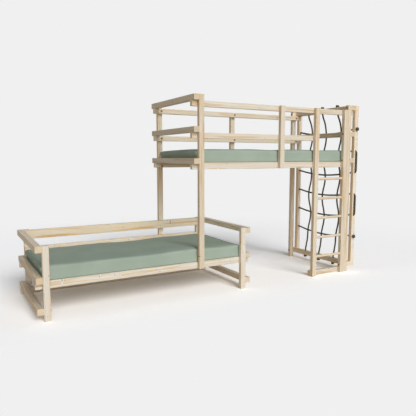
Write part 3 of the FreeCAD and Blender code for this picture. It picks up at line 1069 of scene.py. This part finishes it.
        # The ring that is drawn along the curve swells once for each strand.
        ring = add_node(tree, "GeometryNodeCurvePrimitiveCircle", {
            "Resolution": self.ring_points, "Radius": given.outputs["Radius"]}, mode="RADIUS")
        at = add_node(tree, "GeometryNodeInputPosition")
        flat = add_node(tree, "ShaderNodeSeparateXYZ", {0: at.outputs[0]})
        around = add_node(tree, "ShaderNodeMath", {0: flat.outputs["Y"], 1: flat.outputs["X"]},
                          operation="ARCTAN2")
        lobes = add_node(tree, "ShaderNodeMath", {0: around.outputs[0], 1: given.outputs["Strands"]},
                         operation="MULTIPLY")
        wave = add_node(tree, "ShaderNodeMath", {0: lobes.outputs[0]}, operation="COSINE")
        height = add_node(tree, "ShaderNodeMapRange", {"Value": wave.outputs[0], "From Min": -1.0})
        size = add_node(tree, "ShaderNodeMapRange", {
            "Value": wave.outputs[0], "From Min": -1.0, "To Min": self.strand_sizes[0],
            "To Max": self.strand_sizes[1]})
        lobed = add_node(tree, "ShaderNodeVectorMath", {0: at.outputs[0], 1: size.outputs[0]},
                         operation="MULTIPLY")
        marked = add_node(tree, "GeometryNodeStoreNamedAttribute", {
            "Geometry": ring.outputs[0], "Name": "strand_height", "Value": height.outputs[0]},
            data_type="FLOAT", domain="POINT")
        profile = add_node(tree, "GeometryNodeSetPosition", {
            "Geometry": marked.outputs[0], "Position": lobed.outputs[0]})
        tube = add_node(tree, "GeometryNodeCurveToMesh", {
            "Curve": twisted.outputs[0], "Profile Curve": profile.outputs[0], "Fill Caps": True})
        smooth = add_node(tree, "GeometryNodeSetShadeSmooth", {0: tube.outputs[0]})
        end_tree(tree, smooth.outputs[0], given.outputs["Material"])
        return tree

    def rope(self, name: str, routes: list[list[Point]], tree: Tree) -> bpy.types.Object:
        """Lay strands along routes.

        Args:
            name: Name of the piece.
            routes: The routes of its stretches.
            tree: The tree that lays the strands.
        Returns:
            The finished mesh.
        """
        return grown(self.spline(name + "_line", routes), tree, {
            "Radius": self.diameter / 2, "Lay": self.lay, "Step": self.ring_step,
            "Strands": self.strands, "Material": self.finish.material(name)}, name)

    def build(self) -> set[str]:
        """Make the ropes and knots.

        Returns:
            The CAD nodes that they stand for.
        """
        tree = self.strand_tree()
        up, down, forward = Vector((0, 0, 1)), Vector((0, 0, -1)), Vector((0, -1, 0))
        plans = []
        for place, y in (("front", -self.pitch), ("middle", 0.0), ("rear", self.pitch)):
            ends = [((self.rail_x, y, self.top), up), ((self.rail_x, y, self.foot), down)]
            plans.append((f"net_upright_rope_{place}", self.upright_route(y), ends, self.upright_length))
        ends = [((self.post_x, self.front_y, self.levels[i]), forward) for i in (0, -1)]
        plans.append(("net_level_rope", self.level_route(), ends, self.level_length))
        done = {"net_knots"}
        for node, route, ends, length in plans:
            rope = self.rope(node + "_laid", [route], tree)
            knots = self.rope(node + "_knots", [self.knot_route(seat, out) for seat, out in ends], tree)
            for piece, replaced in ((rope, node), (knots, "net_knots")):
                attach(piece, BODY)
                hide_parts(replaced)
            self.centreline(node + "_path", route)
            done.add(node)
            LOG.info("laid %s", rope.name)
        return done


@dataclass
class Mattress:
    """Foam mattress in a cotton cover, made as a rounded block that is blown up a little as cloth.

    Its top has soft waves, its left end swells over the cross rail and its rear rim droops.
    """

    node: str
    turned: bool = False
    cell: float = 0.018
    fewest_cells: int = 4
    corner: float = 0.012
    top_rim: float = 0.018
    foot_rim: float = 0.003
    shrink: float = 0.001
    pressure: float = 4.0
    stiffness: float = 12.0
    frames: int = 20
    cap: float = 0.010
    sideways: float = 0.4
    grip: float = 0.045
    seam_share: float = 0.3
    stitch_step: float = 0.011
    stitch_length: float = 0.008
    stitch_thread: float = 0.0016
    wave: float = 0.009
    waves_per_metre: Span = (2.6, 3.1)
    end_bulge: float = 0.024
    end_run: float = 0.08
    rim_rise: float = 0.03
    rear_dip: float = 0.012
    rear_run: float = 0.22
    finish: CottonFinish = CottonFinish()

    def rounded(self, flat: Vector, half: Vector) -> Vector:
        """Pull a point of a plain block on to the rounded one.

        Args:
            flat: Point on the plain block, about its middle.
            half: Half of the block's sizes.
        Returns:
            The point with round corners and rims.
        """
        inner = Vector([max(self.corner - half[i], min(half[i] - self.corner, flat[i])) for i in range(2)])
        out = flat.to_2d() - inner
        reach = max(abs(out.x), abs(out.y))
        rim = self.top_rim if flat.z > 0 else self.foot_rim
        inward = max(0.0, rim - (self.corner - reach))
        upward = max(0.0, rim - (half.z - abs(flat.z)))
        spread = math.hypot(inward, upward)
        rise = abs(flat.z)
        if inward > 0 and upward > 0:
            reach = self.corner - rim + rim * inward / spread
            rise = half.z - rim + rim * upward / spread
        plan = inner + out.normalized() * reach if out.length > 0 else flat.to_2d()
        return Vector((plan.x, plan.y, math.copysign(rise, flat.z)))

    def block(self, size: Vector) -> tuple[bpy.types.Mesh, list[int]]:
        """Block of even cells with round rims and corners, about its own middle.

        Args:
            size: Length, width and height.
        Returns:
            The mesh, and the vertices of the ring that the seam follows, in order.
        """
        counts = [max(self.fewest_cells, round(extent / self.cell)) for extent in size]
        work = bmesh.new()
        seen: dict[tuple[int, int, int], bmesh.types.BMVert] = {}
        half = size / 2

        def spot(cell: tuple[int, int, int]) -> bmesh.types.BMVert:
            """Vertex of a grid place, made at its first use.

            Args:
                cell: The place's three numbers in the grid.
            Returns:
                The vertex.
            """
            if cell not in seen:
                flat = Vector([2 * half[i] * cell[i] / counts[i] - half[i] for i in range(3)])
                seen[cell] = work.verts.new(self.rounded(flat, half))
            return seen[cell]

        for axis in range(3):
            first, second = [i for i in range(3) if i != axis]
            for end in (0, counts[axis]):
                for a in range(counts[first]):
                    for b in range(counts[second]):
                        ring = []
                        for da, db in ((0, 0), (1, 0), (1, 1), (0, 1)):
                            cell = [0, 0, 0]
                            cell[axis], cell[first], cell[second] = end, a + da, b + db
                            ring.append(spot(tuple(cell)))
                        work.faces.new(ring)
        bmesh.ops.recalc_face_normals(work, faces=work.faces)
        work.verts.index_update()
        level = round(counts[2] * self.seam_share)
        long, wide = counts[:2]
        walk = [(i, 0) for i in range(long)] + [(long, j) for j in range(wide)]
        walk += [(i, wide) for i in range(long, 0, -1)] + [(0, j) for j in range(wide, 0, -1)]
        seam = [seen[(i, j, level)].index for i, j in walk]
        mesh = bpy.data.meshes.new(self.node + "_cover")
        work.to_mesh(mesh)
        work.free()
        return mesh, seam

    def blow_up(self, piece: bpy.types.Object) -> None:
        """Swell the cover by cloth simulation, with a cap on each point's way.

        The slats hold its foot, so the way grows from nothing there over the height of the grip.

        Args:
            piece: Cover to swell, in place about its own middle.
        """
        start = [vertex.co.copy() for vertex in piece.data.vertices]
        cloth = piece.modifiers.new("cover", "CLOTH")
        cloth.settings.quality = 4
        cloth.settings.mass = 0.4
        cloth.settings.tension_stiffness = self.stiffness
        cloth.settings.compression_stiffness = self.stiffness
        cloth.settings.bending_stiffness = 2.0
        cloth.settings.use_pressure = True
        cloth.settings.uniform_pressure_force = self.pressure
        cloth.settings.effector_weights.gravity = 0
        cloth.collision_settings.use_collision = False
        cloth.point_cache.frame_start = 1
        cloth.point_cache.frame_end = self.frames
        scene = bpy.context.scene
        for step in range(1, self.frames + 1):
            scene.frame_set(step)
        graph = bpy.context.evaluated_depsgraph_get()
        swollen = piece.evaluated_get(graph).to_mesh()
        moved = [vertex.co.copy() for vertex in swollen.vertices]
        piece.evaluated_get(graph).to_mesh_clear()
        piece.modifiers.remove(cloth)
        scene.frame_set(1)
        foot = min(point.z for point in start)
        for vertex, before, after in zip(piece.data.vertices, start, moved):
            way = (after - before) * Vector((self.sideways, self.sideways, 1.0))
            if way.length > self.cap:
                way *= self.cap / way.length
            vertex.co = before + way * min(1.0, (before.z - foot) / self.grip)

    def settle(self, mesh: bpy.types.Mesh, low: Vector, high: Vector) -> None:
        """Move the cover to its place on the slats, with its waves, its full end and its low rear rim.

        Args:
            mesh: The cover's mesh, about its own middle.
            low: Lowest corner of its place.
            high: Highest corner of its place.
        """
        middle = (low + high) / 2
        side = -1 if self.turned else 1
        for vertex in mesh.vertices:
            spot = Vector((vertex.co.x * side, vertex.co.y * side, vertex.co.z)) + middle
            along, across = (spot[i] * self.waves_per_metre[i] for i in range(2))
            slack = noise.noise(Vector((along, across, middle.z))) * self.wave
            spot.z = max(spot.z + (slack if vertex.co.z > 0 else 0.0), low.z)
            near_end = max(0.0, 1 - (spot.x - low.x) / self.end_run)
            near_rear = max(0.0, 1 - (high.y - spot.y) / self.rear_run)
            upper = max(0.0, min(1.0, vertex.co.z / self.rim_rise))
            spot.x -= self.end_bulge * near_end * upper
            spot.z -= self.rear_dip * near_rear * upper
            vertex.co = spot
        for face in mesh.polygons:
            face.use_smooth = True

    def stitch_tree(self) -> Tree:
        """Geometry nodes that set a stitch at every step along a closed line.

        Returns:
            The tree.
        """
        tree, given = new_tree("seam_stitches", {
            "Step": "Float", "Length": "Float", "Thread": "Float", "Material": "Material"})
        dots = add_node(tree, "GeometryNodeCurveToPoints", {
            "Curve": given.outputs["Geometry"], "Length": given.outputs["Step"]}, mode="LENGTH")
        turn = add_node(tree, "FunctionNodeAlignRotationToVector", {"Vector": dots.outputs["Tangent"]},
                        axis="Z")
        shape = add_node(tree, "ShaderNodeCombineXYZ", {
            0: given.outputs["Thread"], 1: given.outputs["Thread"], 2: given.outputs["Length"]})
        ball = add_node(tree, "GeometryNodeMeshUVSphere", {"Segments": 8, "Rings": 6, "Radius": 0.5})
        smooth = add_node(tree, "GeometryNodeSetShadeSmooth", {0: ball.outputs["Mesh"]})
        placed = add_node(tree, "GeometryNodeInstanceOnPoints", {
            "Points": dots.outputs["Points"], "Instance": smooth.outputs[0],
            "Rotation": turn.outputs[0], "Scale": shape.outputs[0]})
        end_tree(tree, placed.outputs[0], given.outputs["Material"])
        return tree

    def stitches(self, ring: list[Vector], material: bpy.types.Material) -> bpy.types.Object:
        """Sew a row of stitches round the cover.

        Args:
            ring: Points of the seam, in order.
            material: The cover's cloth.
        Returns:
            The finished stitches.
        """
        line = new_curve(self.node + "_seam", "POLY", [ring])
        line.data.splines[0].use_cyclic_u = True
        return grown(line, self.stitch_tree(), {
            "Step": self.stitch_step, "Length": self.stitch_length, "Thread": self.stitch_thread,
            "Material": material}, self.node + "_stitches")

    def build(self) -> set[str]:
        """Make the mattress in its CAD solid's place.

        Returns:
            The CAD node that it stands for.
        """
        low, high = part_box(self.node)
        inset = Vector((self.shrink, self.shrink, 0.0))
        mesh, seam = self.block(high - low - 2 * inset)
        piece = new_object(self.node + "_padded", mesh)
        self.blow_up(piece)
        self.settle(mesh, low, high)
        ring = [mesh.vertices[i].co.copy() for i in seam]
        finer = piece.modifiers.new("finer", "SUBSURF")
        finer.levels = 1
        finer.render_levels = 1
        cover = plain_mesh(piece, self.node + "_cover")
        cloth = self.finish.material(self.node)
        coat(cover, cloth)
        for part in (cover, self.stitches(ring, cloth)):
            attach(part, BODY)
            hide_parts(self.node)
            LOG.info("sewn %s", part.name)
        return {self.node}


@dataclass
class Studio:
    """Pale floor, soft light from the front and the camera of the photograph. Angles are in degrees."""

    paper: str = "#F0F0F0"
    camera_place: Point = (-2.4691, -4.4876, 1.3942)
    camera_turn: float = -29.67
    camera_dip: float = 6.335
    lens_mm: float = 39.88
    sensor_mm: float = 36.0
    sight: float = 200.0
    sky: float = 0.168
    key_strength: float = 1.40
    key_turn: float = 4.0
    key_height: float = 34.0
    key_softness: float = 28.0
    fill_strength: float = 1.05
    fill_turn: float = -12.0
    fill_height: float = 15.0
    fill_softness: float = 44.0
    floor_half: float = 60.0
    floor_reach: Span = (3.0, 6.5)
    front_reach: Span = (0.48, 1.05)
    floor_lit: Point = (1.66, 1.67, 1.69)
    floor_bounce: Point = (0.85, 0.76, 0.66)

    def floor(self) -> None:
        """Large pale floor that fades into the paper round the bed and in front of it."""
        mesh = bpy.data.meshes.new("floor")
        corners = [(x * self.floor_half, y * self.floor_half, 0)
                   for x, y in ((-1, -1), (1, -1), (1, 1), (-1, 1))]
        mesh.from_pydata(corners, [], [(0, 1, 2, 3)])
        piece = new_object("floor", mesh)
        material, tree = new_material("studio paper")
        rays = add_node(tree, "ShaderNodeLightPath")
        place = add_node(tree, "ShaderNodeTexCoord")
        far = add_node(tree, "ShaderNodeVectorMath", {0: place.outputs["Object"]}, operation="LENGTH")
        fade = add_node(tree, "ShaderNodeMapRange", {
            "Value": far.outputs["Value"], "From Min": self.floor_reach[0],
            "From Max": self.floor_reach[1]}, interpolation_type="SMOOTHSTEP")
        split = add_node(tree, "ShaderNodeSeparateXYZ", {0: place.outputs["Object"]})
        ahead = add_node(tree, "ShaderNodeMapRange", {
            "Value": split.outputs["Y"], "From Min": -self.front_reach[0],
            "From Max": -self.front_reach[1]}, interpolation_type="SMOOTHSTEP")
        plain = add_node(tree, "ShaderNodeMath", {0: fade.outputs["Result"], 1: ahead.outputs["Result"]},
                         operation="MAXIMUM")
        tone = add_node(tree, "ShaderNodeMix", {
            "Factor": rays.outputs["Is Camera Ray"], "A": (*self.floor_bounce, 1.0),
            "B": (*self.floor_lit, 1.0)}, data_type="RGBA")
        matt = add_node(tree, "ShaderNodeBsdfDiffuse", {"Color": tone.outputs["Result"]})
        paper = add_node(tree, "ShaderNodeEmission", {"Color": linear(self.paper), "Strength": 1.0})
        seen = add_node(tree, "ShaderNodeMath", {0: plain.outputs[0], 1: rays.outputs["Is Camera Ray"]},
                        operation="MULTIPLY")
        mixed = add_node(tree, "ShaderNodeMixShader", {
            0: seen.outputs[0], 1: matt.outputs[0], 2: paper.outputs[0]})
        add_node(tree, "ShaderNodeOutputMaterial", {"Surface": mixed.outputs[0]})
        coat(piece, material)

    def sky_light(self) -> None:
        """Even light from all round, with white paper behind for the camera and for gloss."""
        world = bpy.data.worlds.new("studio")
        bpy.context.scene.world = world
        world.use_nodes = True
        tree = world.node_tree
        tree.nodes.clear()
        rays = add_node(tree, "ShaderNodeLightPath")
        shine = add_node(tree, "ShaderNodeMath", {
            0: rays.outputs["Is Camera Ray"], 1: rays.outputs["Is Glossy Ray"]}, operation="ADD")
        clear = add_node(tree, "ShaderNodeMath", {
            0: shine.outputs[0], 1: rays.outputs["Is Transmission Ray"]}, operation="ADD", use_clamp=True)
        dome = add_node(tree, "ShaderNodeBackground", {"Color": (1, 1, 1, 1), "Strength": self.sky})
        paper = add_node(tree, "ShaderNodeBackground", {"Color": linear(self.paper), "Strength": 1.0})
        mixed = add_node(tree, "ShaderNodeMixShader", {
            0: clear.outputs[0], 1: dome.outputs[0], 2: paper.outputs[0]})
        add_node(tree, "ShaderNodeOutputWorld", {"Surface": mixed.outputs[0]})

    def lamp(self, name: str, strength: float, turn: float, height: float, softness: float) -> None:
        """Add one soft lamp that lights the whole bed evenly.

        Args:
            name: Name of the lamp.
            strength: Light on a face that looks at it.
            turn: Degrees to the right of straight in front.
            height: Degrees above the floor.
            softness: Width of the lamp as seen from the bed, in degrees.
        """
        data = bpy.data.lights.new(name, "SUN")
        data.energy = strength
        data.angle = math.radians(softness)
        lamp = new_object(name, data)
        lamp.rotation_euler = Euler((math.radians(90 - height), 0, math.radians(turn)))

    def camera(self) -> None:
        """Camera where the photograph was taken from."""
        data = bpy.data.cameras.new("camera")
        data.sensor_width = self.sensor_mm
        data.lens = self.lens_mm
        data.clip_end = self.sight
        camera = new_object("camera", data)
        camera.location = self.camera_place
        tilt = math.radians(90 - self.camera_dip)
        camera.rotation_euler = Euler((tilt, 0, math.radians(self.camera_turn)))
        bpy.context.scene.camera = camera

    def build(self) -> None:
        """Set up floor, light and camera."""
        bpy.context.scene.view_settings.view_transform = "Standard"
        self.floor()
        self.sky_light()
        self.lamp("key", self.key_strength, self.key_turn, self.key_height, self.key_softness)
        self.lamp("fill", self.fill_strength, self.fill_turn, self.fill_height, self.fill_softness)
        self.camera()


def main() -> None:
    """Build the pieces in order."""
    logging.basicConfig(level=logging.INFO)
    Studio().build()
    replaced = RopeNet().build()
    for mattress in (Mattress("lower_mattress"), Mattress("upper_mattress", turned=True)):
        replaced |= mattress.build()
    Woodwork().dress(replaced)


if __name__ == "__main__":
    main()
